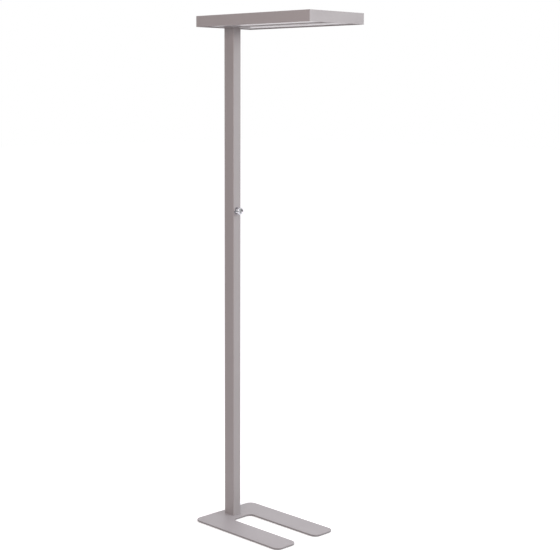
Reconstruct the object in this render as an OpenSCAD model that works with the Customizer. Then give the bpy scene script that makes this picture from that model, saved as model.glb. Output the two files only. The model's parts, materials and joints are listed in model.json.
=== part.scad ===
// Office floor lamp with a flat head, a rectangular mast and a U-shaped base.
// Origin on the mast's axis at floor level, front of the lamp towards -Y, Z up.

/* [Overall] */
// Height of the whole lamp above the floor
lamp_h = 1950; // [1750:5:2150]

/* [Base] */
// Width of the base plate
base_w = 306; // [270:1:340]
// Length of the base plate from back to front
base_l = 465; // [400:1:520]
// Thickness of the base plate
base_t = 6; // [5:0.5:12]
// Distance of the base's back edge behind the mast's axis
base_back = 55; // [45:1:70]
// Width of the slot between the two arms
slot_w = 98; // [80:1:120]
// Distance of the slot's closed end in front of the mast's axis
slot_start = 52; // [36:1:70]
// Radius of the base's outer corners
base_r = 27; // [12:1:36]
// Radius of the slot's inner corners
slot_r = 20; // [6:1:30]
// Thickness of the rubber underlay
mat_t = 2; // [1:0.5:4]
// Distance of the underlay's edge inside the plate's edge
mat_inset = 3; // [1:0.5:8]

/* [Mast] */
// Depth of the mast tube, front to back
mast_d = 52; // [48:1:60]
// Width of the mast tube
mast_w = 38; // [34:1:40]
// Wall of the mast tube
mast_wall = 2; // [1.5:0.1:2.5]
// Outer corner radius of the mast tube
mast_r = 3; // [2.6:0.1:4]
// Height of the block in the mast's foot
foot_h = 45; // [40:1:60]
// Height of the block in the mast's top
top_h = 40; // [36:1:80]
// Height of the cord gland above the floor
gland_z = 90; // [85:1:160]
// Bore of the cord gland
gland_bore = 7.6; // [5:0.1:8.4]

/* [Dimmer] */
// Height of the dimmer's axis above the floor
dimmer_z = 1220; // [900:1:1400]
// Diameter of the knob
knob_d = 28; // [24:0.5:34]
// How far the knob stands out of the mast
knob_out = 21; // [17:0.5:30]
// Diameter of the ring behind the knob
ring_d = 31; // [29:0.5:34]
// Thickness of the ring behind the knob
ring_t = 2.5; // [1.5:0.1:3.5]
// Travel of the knob when it is pressed
press_travel = 2; // [1:0.1:2.5]
// Diameter of the dimmer's shaft
shaft_d = 6; // [5:0.1:6.4]

/* [Head] */
// Width of the head
head_w = 278; // [260:1:340]
// Length of the head
head_l = 585; // [560:1:700]
// Height of the head's frame
head_h = 40; // [38:1:60]
// Distance of the head's back edge behind the mast's axis
head_back = 48; // [46:1:70]
// Wall of the head's rails
rail_wall = 2; // [1.5:0.1:3]
// Width of the ledges inside the rails
ledge_w = 6; // [6:0.5:12]
// Thickness of the ledges inside the rails
ledge_t = 1.5; // [1:0.1:2.5]
// Depth of the lower diffusers' face above the head's bottom edge
recess_down = 4; // [4:0.1:6]
// Depth of the upper covers' face below the head's top edge
recess_up = 2.5; // [1:0.1:4]
// Thickness of the lower diffusers
diffuser_t = 2; // [1.5:0.1:3]
// Thickness of the upper covers
cover_t = 3; // [2:0.1:4]
// Width of the spine's bottom flange, the strip between the light fields
spine_w = 40; // [38:0.5:60]
// Width inside the spine channel
spine_in = 28; // [28:0.5:32]
// Sheet thickness of the spine
spine_t = 2; // [1.5:0.1:2.5]
// Width of the neck plate on top of the mast
neck_w = 90; // [60:1:130]
// Length of the neck plate in front of the mast
neck_ahead = 25; // [10:1:40]
// Thickness of the neck plate
neck_t = 3; // [2:0.1:4]

/* [Light] */
// Number of LEDs on each board
led_count = 24; // [8:1:40]
// Width of an LED board
board_w = 20; // [14:1:26]
// Thickness of an LED board
board_t = 1.6; // [1:0.1:2]
// Edge length of an LED
led_size = 3; // [2:0.1:5]
// Height of an LED
led_h = 0.8; // [0.4:0.1:1.5]
// Distance between the two rows of boards in one light field
row_pitch = 44; // [30:1:56]
// Length of the LED driver
driver_l = 300; // [200:5:340]
// Height of the LED driver
driver_h = 21; // [16:0.5:24]
// Diameter of the control cable in the mast
cable_d = 4.4; // [3:0.1:6]

/* [Hidden] */
$fn = 48;
fit = 0.3;
run = 0.05;
over = 1;

silver = [0.72, 0.70, 0.70];
chrome = [0.86, 0.87, 0.89];
white = [0.95, 0.95, 0.94];
opal = [0.93, 0.93, 0.92];
dark = [0.16, 0.16, 0.17];
brass = [0.80, 0.66, 0.36];
steel = [0.62, 0.63, 0.65];
board_white = [0.90, 0.92, 0.88];
led_yellow = [0.98, 0.86, 0.42];

// Base
base_top = mat_t + base_t;
base_front = base_back - base_l;
arm_w = (base_w - slot_w) / 2;
screw_d = 6;
screw_hole_d = screw_d + 2 * run;
screw_head_d = 11.5;
screw_head_h = 3;
screw_grip = 14;
screw_side = 8;
screw_x = mast_w / 2 - screw_side;
screw_y = mast_d / 2 - screw_side;
access_gap = 1;
access_d = screw_head_d + 2 * access_gap;
screw_room = 2;

// Mast
in_w = mast_w - 2 * mast_wall;
in_d = mast_d - 2 * mast_wall;
in_r = mast_r - mast_wall;
head_z = lamp_h - head_h;
diffuser_z = head_z + recess_down;
neck_z = diffuser_z - neck_t;
mast_front = -mast_d / 2;
mast_back = mast_d / 2;
back_screw_d = 5;
back_head_d = 9;
back_head_h = 1.4;
back_screw_l = 12;
back_screw_pitch = 22;
foot_screws_z = base_top + screw_grip + (foot_h - screw_grip) / 2;
top_screws_z = neck_z - top_h / 2;
cable_room = 3.8;
cable_hole_d = cable_d + 2 * cable_room;

// Gland
gland_wall = 2.1;
gland_body_d = gland_bore + 2 * gland_wall;
gland_rim = 2.6;
gland_flange_t = 2.4;
gland_bevel = 0.8;
gland_tail = 12;
gland_nut_w = gland_body_d + 4.2;
gland_nut_t = 3;

// Dimmer, lengths measured outwards from the mast's front face
rotor_wall = 0.95;
rotor_d = shaft_d + 2 * rotor_wall;
bush_wall = 0.95;
bush_d = rotor_d + 2 * bush_wall;
nut_t = 2.5;
bush_end = 2;
bush_out = ring_t + nut_t + bush_end;
bush_flange_d = 18;
bush_flange_t = 1.6;
nut_w = bush_d + 4.2;
rotor_back = 0.5;
rotor_out = bush_out - rotor_back;
cup_in = 11;
cup_wall = 1.2;
cup_d = cup_in + 2 * cup_wall;
shoulder_t = 1.6;
housing_front = -mast_wall - bush_flange_t;
housing_wall = 3.2;
housing_w = 26;
housing_h = 30;
cavity_gap = 0.6;
cavity_d = cup_d + 2 * cavity_gap;
cavity_front = housing_front - housing_wall;
cup_front = cavity_front - cavity_gap;
cup_l = 16.6;
cup_end = cup_front - cup_l;
cap_t = 2;
cavity_end = cup_end - cavity_gap;
housing_back = cavity_end - housing_wall;
shaft_cut = 1.5;
shaft_flat = shaft_d / 2 - shaft_cut;
shaft_head_gap = 0.4;
shaft_head_d = cup_in - 2 * shaft_head_gap;
shaft_head_t = 1.5;
shaft_head_front = cup_front - shoulder_t - 2 * run;
knob_face_t = 2.5;
shaft_out = knob_out - knob_face_t;
knob_gap = 0.5;
knob_start = ring_t + press_travel + knob_gap;
knob_recess_gap = 1.9;
knob_recess_d = nut_w / cos(30) + 2 * knob_recess_gap;
knob_recess_end = bush_out + press_travel + 2 * knob_gap;
knob_bevel = 1.2;
ring_bevel = 0.8;
spring_wire = 0.7;
spring_side_gap = 0.45;
spring_d = cup_in - 2 * spring_side_gap - spring_wire;
spring_turns = 5;
spring_gap = 0.05;
spring_rings = 12;
spring_sides = 6;
terminal_t = 0.8;
terminal_l = 6;
terminal_w = 3;
terminal_pitch = 5;
terminal_drop = 8;

// Head
head_front = head_back - head_l;
head_mid = (head_front + head_back) / 2;
rail_in = head_w / 2 - rail_wall;
inner_back = head_back - rail_wall;
inner_front = head_front + rail_wall;
cover_z = lamp_h - recess_up - cover_t;
spine_out = spine_in + 2 * spine_t;
pane_in = spine_out / 2 + fit;
pane_out = rail_in - fit;
pane_w = pane_out - pane_in;
pane_x = (pane_out + pane_in) / 2;
pane_front = inner_front + fit;
pane_back = inner_back - fit;
pane_l = pane_back - pane_front;
neck_front = mast_front - neck_ahead;
ledge_back = inner_back - ledge_w - fit;
ledge_front = inner_front + ledge_w + fit;
spine_l = ledge_back - ledge_front;
neck_head_d = 8.6;
neck_head_h = 2.8;
neck_screw_x = spine_in / 2 - neck_head_d / 2 - 0.5;
neck_screw_y = mast_d / 2 - screw_side;
neck_screw_l = 20;
socket_w = 4;
socket_h = 1.6;
tray_z = diffuser_z + diffuser_t;
tray_rim = 6;
tray_end = ledge_w;
tray_t = 1;
tray_h = 15;
tray_slope = 12;
tray_top = tray_z + tray_h;
tray_l = pane_l - 2 * tray_end;
board_end = 15;
board_front = pane_front + tray_end + board_end;
board_l = tray_l - 2 * board_end;
led_pitch = board_l / led_count;
bracket_l = 26;
bracket_t = 2;
bracket_h = 14;
bracket_z = diffuser_z + 10;
driver_gap = 1;
driver_w = spine_in - 2 * driver_gap;
driver_back = -150;
block_w = 22;
block_l = 30;
block_h = 14;
block_gap = 12;
block_back = neck_front - block_gap;
cable_r = 9;
cable_z = diffuser_z + block_h / 2;
lead_d = 2.2;
lead_r = 5;
lead_x = 6;
lead_z = tray_top + lead_d / 2 + fit;
lead_out = 6;
lead_hole_d = 4;
lead_y = driver_back + lead_out + lead_r;
end_t = 2;
end_l = 22;
end_h = 20;

echo(spring_least_gap = spring_pitch() - spring_wire);

// Flat rectangle with true round corners, centred
module round_rect(w, d, r) {
    square([w - 2 * r, d], center = true);
    square([w, d - 2 * r], center = true);
    for (sx = [-1, 1], sy = [-1, 1]) {
        translate([sx * (w / 2 - r), sy * (d / 2 - r)]) circle(r);
    }
}

// U outline of the base, drawn in by an inset all round
module base_outline(inset) {
    bar_front = inset - slot_start;
    bar_back = base_back - inset;
    slot_half = slot_w / 2 + inset;
    fillet_r = slot_r + inset;
    for (side = [-1, 1]) {
        translate([side * (slot_w + arm_w) / 2, (base_back + base_front) / 2]) {
            round_rect(arm_w - 2 * inset, base_l - 2 * inset, base_r - inset);
        }
        translate([side * slot_half, bar_front]) slot_fillet(side, fillet_r);
    }
    translate([-slot_half - base_r, bar_front]) square([2 * (slot_half + base_r), bar_back - bar_front]);
}

// Hollow corner at the closed end of the slot
module slot_fillet(side, r) {
    difference() {
        translate([side > 0 ? -r : -over, -r]) square([r + over, r + over]);
        translate([-side * r, -r]) circle(r);
    }
}

// Places children at the four corners of a rectangle
module at_corners(x, y) {
    for (sx = [-1, 1], sy = [-1, 1]) translate([sx * x, sy * y, 0]) children();
}

// Rubber underlay with holes to reach the screws
module base_mat() {
    color(dark) difference() {
        linear_extrude(mat_t) base_outline(mat_inset);
        at_corners(screw_x, screw_y) translate([0, 0, -over]) cylinder(h = mat_t + 2 * over, d = access_d);
    }
}

// Countersunk screw, head at the bottom, standing up
module countersunk(d, head_d, head_t, length) {
    cylinder(h = head_t, d1 = head_d, d2 = d);
    cylinder(h = length, d = d);
}

// Steel base plate
module base_plate() {
    color(silver) difference() {
        translate([0, 0, mat_t]) linear_extrude(base_t) base_outline(0);
        at_corners(screw_x, screw_y) translate([0, 0, mat_t]) {
            countersunk(screw_hole_d, screw_head_d + 2 * run, screw_head_h, base_t + over);
            translate([0, 0, -over]) cylinder(h = over, d = screw_head_d + 2 * run);
        }
    }
}

// Screws that hold the mast's foot block to the base plate
module base_screws() {
    color(steel) at_corners(screw_x, screw_y) translate([0, 0, mat_t]) {
        countersunk(screw_d, screw_head_d, screw_head_h, base_t + screw_grip);
    }
}

// Turns a screw so that it enters from the mast's back face
module from_back(z) {
    for (side = [-1, 1]) {
        translate([0, mast_back, z + side * back_screw_pitch / 2]) rotate([90, 0, 0]) children();
    }
}

// Room for the screws in the mast's back wall and in a block behind it
module back_screw_room(z) {
    from_back(z) {
        countersunk(back_screw_d + 2 * run, back_head_d + 2 * run, back_head_h, back_screw_l + over);
        translate([0, 0, -over]) cylinder(h = over, d = back_head_d + 2 * run);
    }
}

// Block in the mast's foot, screwed to the base plate
module mast_foot_block() {
    hole_l = screw_grip + screw_room;
    color(steel) difference() {
        translate([0, 0, base_top]) linear_extrude(foot_h) round_rect(in_w - 2 * run, in_d - 2 * run, in_r);
        at_corners(screw_x, screw_y) translate([0, 0, base_top - over]) {
            cylinder(h = hole_l + over, d = screw_hole_d);
        }
        back_screw_room(foot_screws_z);
    }
}

module mast_foot_screws() {
    color(steel) from_back(foot_screws_z) countersunk(back_screw_d, back_head_d, back_head_h, back_screw_l);
}

// Rectangular tube with the dimmer's hole in front, the gland and the block screws behind
module mast_tube() {
    color(silver) difference() {
        translate([0, 0, base_top]) linear_extrude(neck_z - base_top) difference() {
            round_rect(mast_w, mast_d, mast_r);
            round_rect(in_w, in_d, in_r);
        }
        on_dimmer() translate([0, 0, -mast_wall - over]) {
            cylinder(h = mast_wall + 2 * over, d = bush_d + 2 * run);
        }
        at_gland() translate([0, 0, -mast_wall - over]) {
            cylinder(h = mast_wall + 2 * over, d = gland_body_d + 2 * run);
        }
        back_screw_room(foot_screws_z);
        back_screw_room(top_screws_z);
    }
}

// Gland's own axis, pointing out of the mast's back face
module at_gland() {
    translate([0, mast_back, gland_z]) rotate([-90, 0, 0]) children();
}

// Cord gland: flange outside, threaded body through the wall
module cord_gland() {
    gland_r = gland_body_d / 2 + gland_rim;
    color(dark) at_gland() rotate_extrude() polygon([
        [gland_bore / 2, -mast_wall - gland_tail], [gland_body_d / 2, -mast_wall - gland_tail],
        [gland_body_d / 2, 0], [gland_r, 0], [gland_r, gland_flange_t - gland_bevel],
        [gland_r - gland_bevel, gland_flange_t], [gland_bore / 2, gland_flange_t]
    ]);
}

// Nut that holds the gland from inside the mast
module gland_nut() {
    color(dark) at_gland() translate([0, 0, -mast_wall - gland_nut_t]) {
        hex_ring(gland_nut_w, gland_nut_t, gland_body_d);
    }
}

// Hexagon nut of a given width across flats
module hex_ring(across, h, bore_d) {
    difference() {
        cylinder(h = h, d = across / cos(30), $fn = 6);
        translate([0, 0, -over]) cylinder(h = h + 2 * over, d = bore_d + 2 * run);
    }
}

// Block in the mast's top that the neck plate is screwed to
module mast_top_block() {
    color(steel) difference() {
        translate([0, 0, neck_z - top_h]) linear_extrude(top_h) difference() {
            round_rect(in_w - 2 * run, in_d - 2 * run, in_r);
            circle(d = cable_hole_d);
        }
        at_corners(neck_screw_x, neck_screw_y) translate([0, 0, neck_z - neck_screw_l]) {
            cylinder(h = neck_screw_l + over, d = back_screw_d + 2 * run);
        }
        back_screw_room(top_screws_z);
    }
}

module mast_top_screws() {
    color(steel) from_back(top_screws_z) countersunk(back_screw_d, back_head_d, back_head_h, back_screw_l);
}

// Plate on the mast's top that carries the spine
module neck_plate() {
    color(silver) difference() {
        translate([-neck_w / 2, neck_front, neck_z]) cube([neck_w, ledge_back - neck_front, neck_t]);
        translate([0, 0, neck_z - over]) cylinder(h = neck_t + 2 * over, d = cable_hole_d);
        at_corners(neck_screw_x, neck_screw_y) translate([0, 0, neck_z - over]) {
            cylinder(h = neck_t + 2 * over, d = back_screw_d + 2 * run);
        }
    }
}

// Socket screws from the spine channel down into the mast's top block
module neck_screws() {
    color(steel) at_corners(neck_screw_x, neck_screw_y) translate([0, 0, diffuser_z]) difference() {
        union() {
            cylinder(h = neck_head_h, d = neck_head_d);
            translate([0, 0, over - neck_screw_l]) cylinder(h = neck_screw_l, d = back_screw_d);
        }
        translate([0, 0, neck_head_h - socket_h]) {
            cylinder(h = socket_h + over, d = socket_w / cos(30), $fn = 6);
        }
    }
}

// Dimmer's own axis, pointing out of the mast's front face
module on_dimmer() {
    translate([0, mast_front, dimmer_z]) rotate([90, 0, 0]) children();
}

// Ring between the mast and the knob
module dimmer_ring() {
    color(chrome) on_dimmer() rotate_extrude() polygon([
        [bush_d / 2 + run, 0], [ring_d / 2, 0], [ring_d / 2, ring_t - ring_bevel],
        [ring_d / 2 - ring_bevel, ring_t], [bush_d / 2 + run, ring_t]
    ]);
}

module dimmer_nut() {
    color(steel) on_dimmer() translate([0, 0, ring_t]) hex_ring(nut_w, nut_t, bush_d);
}

// Threaded bushing that the rotor turns in
module dimmer_bushing() {
    color(brass) on_dimmer() difference() {
        union() {
            translate([0, 0, housing_front]) cylinder(h = bush_flange_t, d = bush_flange_d);
            translate([0, 0, housing_front]) cylinder(h = bush_out - housing_front, d = bush_d);
        }
        translate([0, 0, housing_front - over]) {
            cylinder(h = bush_out - housing_front + 2 * over, d = rotor_d + 2 * run);
        }
    }
}

// Plastic body of the dimmer with the cavity that the rotor turns in
module dimmer_housing() {
    color(dark) on_dimmer() difference() {
        translate([-housing_w / 2, -housing_h / 2, housing_back]) {
            cube([housing_w, housing_h, housing_front - housing_back]);
        }
        translate([0, 0, cavity_end]) cylinder(h = cavity_front - cavity_end, d = cavity_d);
        translate([0, 0, cavity_front - over]) cylinder(h = housing_wall + 2 * over, d = bush_d);
    }
}

// Three contact blades behind the housing
module dimmer_terminals() {
    color(brass) on_dimmer() translate([0, -terminal_drop, housing_back - terminal_l / 2]) {
        for (i = [-1:1]) translate([i * terminal_pitch, 0, 0]) {
            cube([terminal_t, terminal_w, terminal_l], center = true);
        }
    }
}

// Round section with one flat, as on the shaft and in its bores
module flat_sided(clearance) {
    r = shaft_d / 2 + clearance;
    intersection() {
        circle(r);
        translate([-r, -r]) square([2 * r, r + shaft_flat + clearance]);
    }
}

// Rotor: turned by the shaft's flat, lets the shaft slide through it
module dimmer_rotor() {
    color(brass) on_dimmer() difference() {
        union() {
            translate([0, 0, cup_front - over]) cylinder(h = rotor_out - cup_front + over, d = rotor_d);
            translate([0, 0, cup_end]) cylinder(h = cup_l, d = cup_d);
        }
        translate([0, 0, cup_end - over]) cylinder(h = cup_l + over - shoulder_t, d = cup_in);
        translate([0, 0, cup_front - shoulder_t - over]) {
            linear_extrude(rotor_out - cup_front + shoulder_t + 2 * over) flat_sided(run);
        }
    }
}

// Disc that closes the rotor and carries the spring
module dimmer_rotor_cap() {
    color(dark) on_dimmer() translate([0, 0, cup_end]) cylinder(h = cap_t, d = cup_in - 2 * run);
}

// Shaft with one flat and a head that stops it in the rotor
module dimmer_shaft() {
    color(steel) on_dimmer() {
        translate([0, 0, shaft_head_front - shaft_head_t]) cylinder(h = shaft_head_t, d = shaft_head_d);
        translate([0, 0, shaft_head_front - over]) {
            linear_extrude(shaft_out - shaft_head_front + over) flat_sided(0);
        }
    }
}

// Knob, hollow behind so that it clears the nut
module dimmer_knob() {
    r = knob_d / 2;
    color(chrome) on_dimmer() difference() {
        rotate_extrude() polygon([
            [0, knob_recess_end], [knob_recess_d / 2, knob_recess_end], [knob_recess_d / 2, knob_start],
            [r, knob_start], [r, knob_out - knob_bevel], [r - knob_bevel, knob_out], [0, knob_out]
        ]);
        translate([0, 0, knob_recess_end - over]) {
            linear_extrude(shaft_out - knob_recess_end + over + run) flat_sided(run);
        }
    }
}

// Spring's seats, its pitch and one point of its wire
function spring_from() = cup_end + cap_t + spring_wire / 2 + spring_gap;
function spring_to() = shaft_head_front - shaft_head_t - spring_wire / 2 - spring_gap;
function spring_pitch() = (spring_to() - spring_from()) / spring_turns;
function spring_point(i, side) =
    let (a = 360 * i / spring_rings, b = 360 * side / spring_sides)
    let (r = spring_d / 2 + spring_wire / 2 * cos(b))
    [r * cos(a), r * sin(a), spring_from() + spring_pitch() * i / spring_rings + spring_wire / 2 * sin(b)];

// Return spring that pushes the shaft out
module dimmer_spring() {
    last = spring_rings * spring_turns;
    n = spring_sides;
    points = [for (i = [0:last], s = [0:n - 1]) spring_point(i, s)];
    sides = [for (i = [0:last - 1], s = [0:n - 1]) let (t = (s + 1) % n) each [
        [i * n + s, (i + 1) * n + s, (i + 1) * n + t],
        [i * n + s, (i + 1) * n + t, i * n + t]
    ]];
    ends = [for (s = [1:n - 2]) each [[0, s, s + 1], [last * n, last * n + s + 1, last * n + s]]];
    color(steel) on_dimmer() polyhedron(points, concat(sides, ends));
}

// Cable from the dimmer up the mast, over the neck and into the terminal block
module control_cable() {
    cable_from = dimmer_z + housing_h / 2;
    bend_z = cable_z - cable_r;
    color(dark) {
        translate([0, 0, cable_from]) cylinder(h = bend_z - cable_from, d = cable_d);
        translate([0, -cable_r, bend_z]) rotate([90, 0, 90]) rotate_extrude(angle = 90) {
            translate([cable_r, 0]) circle(d = cable_d);
        }
        translate([0, -cable_r, cable_z]) rotate([90, 0, 0]) cylinder(h = -cable_r - block_back, d = cable_d);
    }
}

// Section of a head rail: outer wall with a lower and an upper ledge
module rail_section() {
    square([rail_wall, head_h]);
    for (ledge_top = [diffuser_z - head_z, cover_z - head_z]) {
        translate([0, ledge_top - ledge_t]) square([rail_wall + ledge_w, ledge_t]);
    }
}

// Rail along X with its outer face at Y = 0, mitred at both ends
module rail(length) {
    depth = rail_wall + ledge_w;
    intersection() {
        rotate([90, 0, 90]) linear_extrude(length, center = true) rail_section();
        linear_extrude(head_h) polygon([
            [-length / 2, 0], [length / 2, 0], [length / 2 - depth, depth], [depth - length / 2, depth]
        ]);
    }
}

module rail_left() {
    color(silver) translate([-head_w / 2, head_mid, head_z]) rotate([0, 0, -90]) rail(head_l);
}

module rail_right() {
    color(silver) translate([head_w / 2, head_mid, head_z]) rotate([0, 0, 90]) rail(head_l);
}

module rail_front() {
    color(silver) translate([0, head_front, head_z]) rail(head_w);
}

module rail_back() {
    color(silver) translate([0, head_back, head_z]) rotate([0, 0, 180]) rail(head_w);
}

// Angle pieces that join the rails inside the four corners
module corner_brackets() {
    color(steel) translate([0, head_mid, bracket_z]) for (sx = [-1, 1], sy = [-1, 1]) {
        translate([sx * rail_in, sy * (head_l / 2 - rail_wall), 0]) mirror([max(sx, 0), 0, 0]) {
            mirror([0, max(sy, 0), 0]) {
                cube([bracket_l, bracket_t, bracket_h]);
                cube([bracket_t, bracket_l, bracket_h]);
            }
        }
    }
}

// Channel from the back rail to the front rail that carries the head
module spine_channel() {
    web_h = cover_z - diffuser_z;
    flange_l = neck_front - fit - ledge_front;
    top_w = (spine_w - spine_in) / 2;
    color(silver) difference() {
        union() {
            for (side = [0, 1]) mirror([side, 0, 0]) translate([spine_in / 2, ledge_front, diffuser_z]) {
                cube([spine_t, spine_l, web_h]);
                translate([0, 0, web_h - spine_t]) cube([top_w, spine_l, spine_t]);
            }
            translate([-spine_w / 2, ledge_front, diffuser_z - spine_t]) cube([spine_w, flange_l, spine_t]);
        }
        translate([0, lead_y, lead_z]) rotate([0, 90, 0]) {
            cylinder(h = spine_w, d = lead_hole_d, center = true);
        }
    }
}

// Angles that tie the channel's ends to the front and back rails
module spine_brackets() {
    width = spine_in - 2 * run;
    color(steel) translate([0, head_mid, diffuser_z]) for (side = [-1, 1]) {
        mirror([0, max(side, 0), 0]) translate([-width / 2, rail_wall - head_l / 2, 0]) {
            cube([width, end_t, end_h]);
            cube([width, end_l, end_t]);
        }
    }
}

// Lid on the channel, level with the upper covers
module spine_lid() {
    color(silver) translate([-spine_out / 2, pane_front, cover_z]) cube([spine_out, pane_l, cover_t]);
}

// Flat pane of one light field, side -1 is left
module pane(side, z, t) {
    translate([side * pane_x - pane_w / 2, pane_front, z]) cube([pane_w, pane_l, t]);
}

module diffuser_left() {
    color(opal) pane(-1, diffuser_z, diffuser_t);
}

module diffuser_right() {
    color(opal) pane(1, diffuser_z, diffuser_t);
}

module upper_cover_left() {
    color(opal) pane(-1, cover_z, cover_t);
}

module upper_cover_right() {
    color(opal) pane(1, cover_z, cover_t);
}

// Trough section drawn in by a wall thickness, from its mouth up to its floor
module trough(inset, h) {
    half = pane_w / 2 - tray_rim - inset;
    top_half = half - tray_slope;
    polygon([[-half, -over], [half, -over], [half, 0], [top_half, h], [-top_half, h], [-half, 0]]);
}

// White reflector that stands on a diffuser and holds the boards
module reflector(side) {
    translate([side * pane_x, 0, tray_z]) difference() {
        union() {
            translate([-pane_w / 2, pane_front, 0]) cube([pane_w, pane_l, tray_t]);
            translate([0, pane_back - tray_end, 0]) rotate([90, 0, 0]) linear_extrude(tray_l) {
                intersection() {
                    trough(0, tray_h);
                    translate([-pane_w / 2, 0]) square([pane_w, tray_h]);
                }
            }
        }
        translate([0, pane_back - tray_end - tray_t, 0]) rotate([90, 0, 0]) {
            linear_extrude(tray_l - 2 * tray_t) trough(tray_t, tray_h - tray_t);
        }
    }
}

module reflector_left() {
    color(white) reflector(-1);
}

module reflector_right() {
    color(white) reflector(1);
}

// One board, centred on a row
module board(x, z) {
    translate([x - board_w / 2, board_front, z]) cube([board_w, board_l, board_t]);
}

// LEDs along one row
module led_row(x, z) {
    for (i = [0:led_count - 1]) {
        translate([x, board_front + (i + 0.5) * led_pitch, z + led_h / 2]) {
            cube([led_size, led_size, led_h], center = true);
        }
    }
}

module led_boards_down() {
    color(board_white) for (side = [-1, 1], row = [-1, 1]) {
        board(side * pane_x + row * row_pitch / 2, tray_top - tray_t - board_t);
    }
}

module leds_down() {
    color(led_yellow) for (side = [-1, 1], row = [-1, 1]) {
        led_row(side * pane_x + row * row_pitch / 2, tray_top - tray_t - board_t - led_h);
    }
}

module led_boards_up() {
    color(board_white) for (side = [-1, 1]) board(side * pane_x, tray_top);
}

module leds_up() {
    color(led_yellow) for (side = [-1, 1]) led_row(side * pane_x, tray_top + board_t);
}

// LED driver in the channel
module led_driver() {
    color(white) translate([-driver_w / 2, driver_back - driver_l, diffuser_z]) {
        cube([driver_w, driver_l, driver_h]);
    }
}

// Terminal block between the neck and the driver
module terminal_block() {
    color(white) translate([-block_w / 2, block_back - block_l, diffuser_z]) {
        cube([block_w, block_l, block_h]);
    }
}

// Leads from the driver through the channel's webs to the upper boards
module driver_leads() {
    run_x = pane_x - board_w / 2 - lead_x - lead_r;
    color(white) for (side = [0, 1]) mirror([side, 0, 0]) translate([lead_x, driver_back, lead_z]) {
        rotate([-90, 0, 0]) cylinder(h = lead_out, d = lead_d);
        translate([lead_r, lead_out, 0]) rotate([0, 0, 90]) rotate_extrude(angle = 90) {
            translate([lead_r, 0]) circle(d = lead_d);
        }
        translate([lead_r, lead_out + lead_r, 0]) rotate([0, 90, 0]) cylinder(h = run_x, d = lead_d);
    }
}

base_mat();
base_plate();
base_screws();
mast_foot_block();
mast_foot_screws();
mast_tube();
cord_gland();
gland_nut();
mast_top_block();
mast_top_screws();
neck_plate();
neck_screws();
dimmer_ring();
dimmer_nut();
dimmer_bushing();
dimmer_housing();
dimmer_terminals();
dimmer_rotor();
dimmer_rotor_cap();
dimmer_shaft();
dimmer_knob();
dimmer_spring();
control_cable();
rail_left();
rail_right();
rail_front();
rail_back();
corner_brackets();
spine_channel();
spine_brackets();
spine_lid();
diffuser_left();
diffuser_right();
reflector_left();
reflector_right();
led_boards_down();
leds_down();
led_boards_up();
leds_up();
upper_cover_left();
upper_cover_right();
led_driver();
terminal_block();
driver_leads();
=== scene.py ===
# Office floor lamp: flat head on a rectangular mast, chrome dimmer knob, U-shaped plate base.
# Metres, Z up, front of the lamp towards -Y, mast axis through the origin.
import json
import math

import bmesh
import bpy
from mathutils import Matrix, Vector


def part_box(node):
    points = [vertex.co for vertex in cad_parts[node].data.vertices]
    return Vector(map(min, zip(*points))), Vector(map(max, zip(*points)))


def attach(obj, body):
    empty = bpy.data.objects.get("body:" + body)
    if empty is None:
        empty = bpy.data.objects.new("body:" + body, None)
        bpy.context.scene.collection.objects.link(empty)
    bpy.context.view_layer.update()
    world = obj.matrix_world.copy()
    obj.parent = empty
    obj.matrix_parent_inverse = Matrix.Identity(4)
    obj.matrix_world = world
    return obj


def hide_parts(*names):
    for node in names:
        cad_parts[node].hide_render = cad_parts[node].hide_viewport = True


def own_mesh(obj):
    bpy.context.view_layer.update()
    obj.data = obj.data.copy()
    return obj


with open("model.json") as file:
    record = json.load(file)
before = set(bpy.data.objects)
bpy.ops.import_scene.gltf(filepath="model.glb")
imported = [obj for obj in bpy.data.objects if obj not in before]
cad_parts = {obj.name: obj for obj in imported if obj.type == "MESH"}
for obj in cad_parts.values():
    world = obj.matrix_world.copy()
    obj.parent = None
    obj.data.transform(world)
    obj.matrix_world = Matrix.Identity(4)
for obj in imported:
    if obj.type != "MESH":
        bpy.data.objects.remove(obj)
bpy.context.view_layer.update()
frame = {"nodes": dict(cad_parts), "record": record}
print("frame loaded:", len(frame["nodes"]), "nodes")


def selectNothing():
    if bpy.context.mode != "OBJECT":
        bpy.ops.object.mode_set(mode="OBJECT")
    bpy.ops.object.select_all(action="DESELECT")


# Camera, at the photograph's viewing angle
view = {
    "place": (-3.27417, -3.55062, 1.66378),
    "turn": -44.868,  # degrees about Z
    "tilt": -8.408,  # looking down
    "roll": 0.305,
    "lens": 80.7538,
    "sensor": 36,
    "farClip": 200,
}


def setCamera():
    data = bpy.data.cameras.new("photoCamera")
    data.lens = view["lens"]
    data.sensor_width = view["sensor"]
    data.clip_end = view["farClip"]
    camera = bpy.data.objects.new("photoCamera", data)
    camera.location = view["place"]
    turn = Matrix.Rotation(math.radians(view["turn"]), 3, "Z")
    tilt = Matrix.Rotation(math.radians(90 + view["tilt"]), 3, "X")
    roll = Matrix.Rotation(math.radians(view["roll"]), 3, "Z")
    camera.rotation_euler = (turn @ tilt @ roll).to_euler()
    bpy.context.scene.collection.objects.link(camera)
    bpy.context.scene.camera = camera


# Light: one broad light from above, a large soft box in front on the right, a smaller one on the left
light = {
    "roomFill": 0.206,
    "roomTint": (0.94, 0.88, 0.79, 1),
    "overhead": 1.497,
    "overheadTint": (1.023, 1.0, 1.089),
    "overheadAngle": 100,
    "overheadPlace": (0, 0, 4),
    "boxes": {  # power, size, tint, place, aim
        "frontBox": (172.0, 2.04, (0.943, 1.0, 1.035), (2.89, -5.74, 2.96), (0, -0.3, 1.5)),
        "leftBox": (29.0, 1.2, (1.208, 1.0, 0.952), (-2.8, -1.9, 2.25), (0, -0.3, 1.4)),
    },
}


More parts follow.
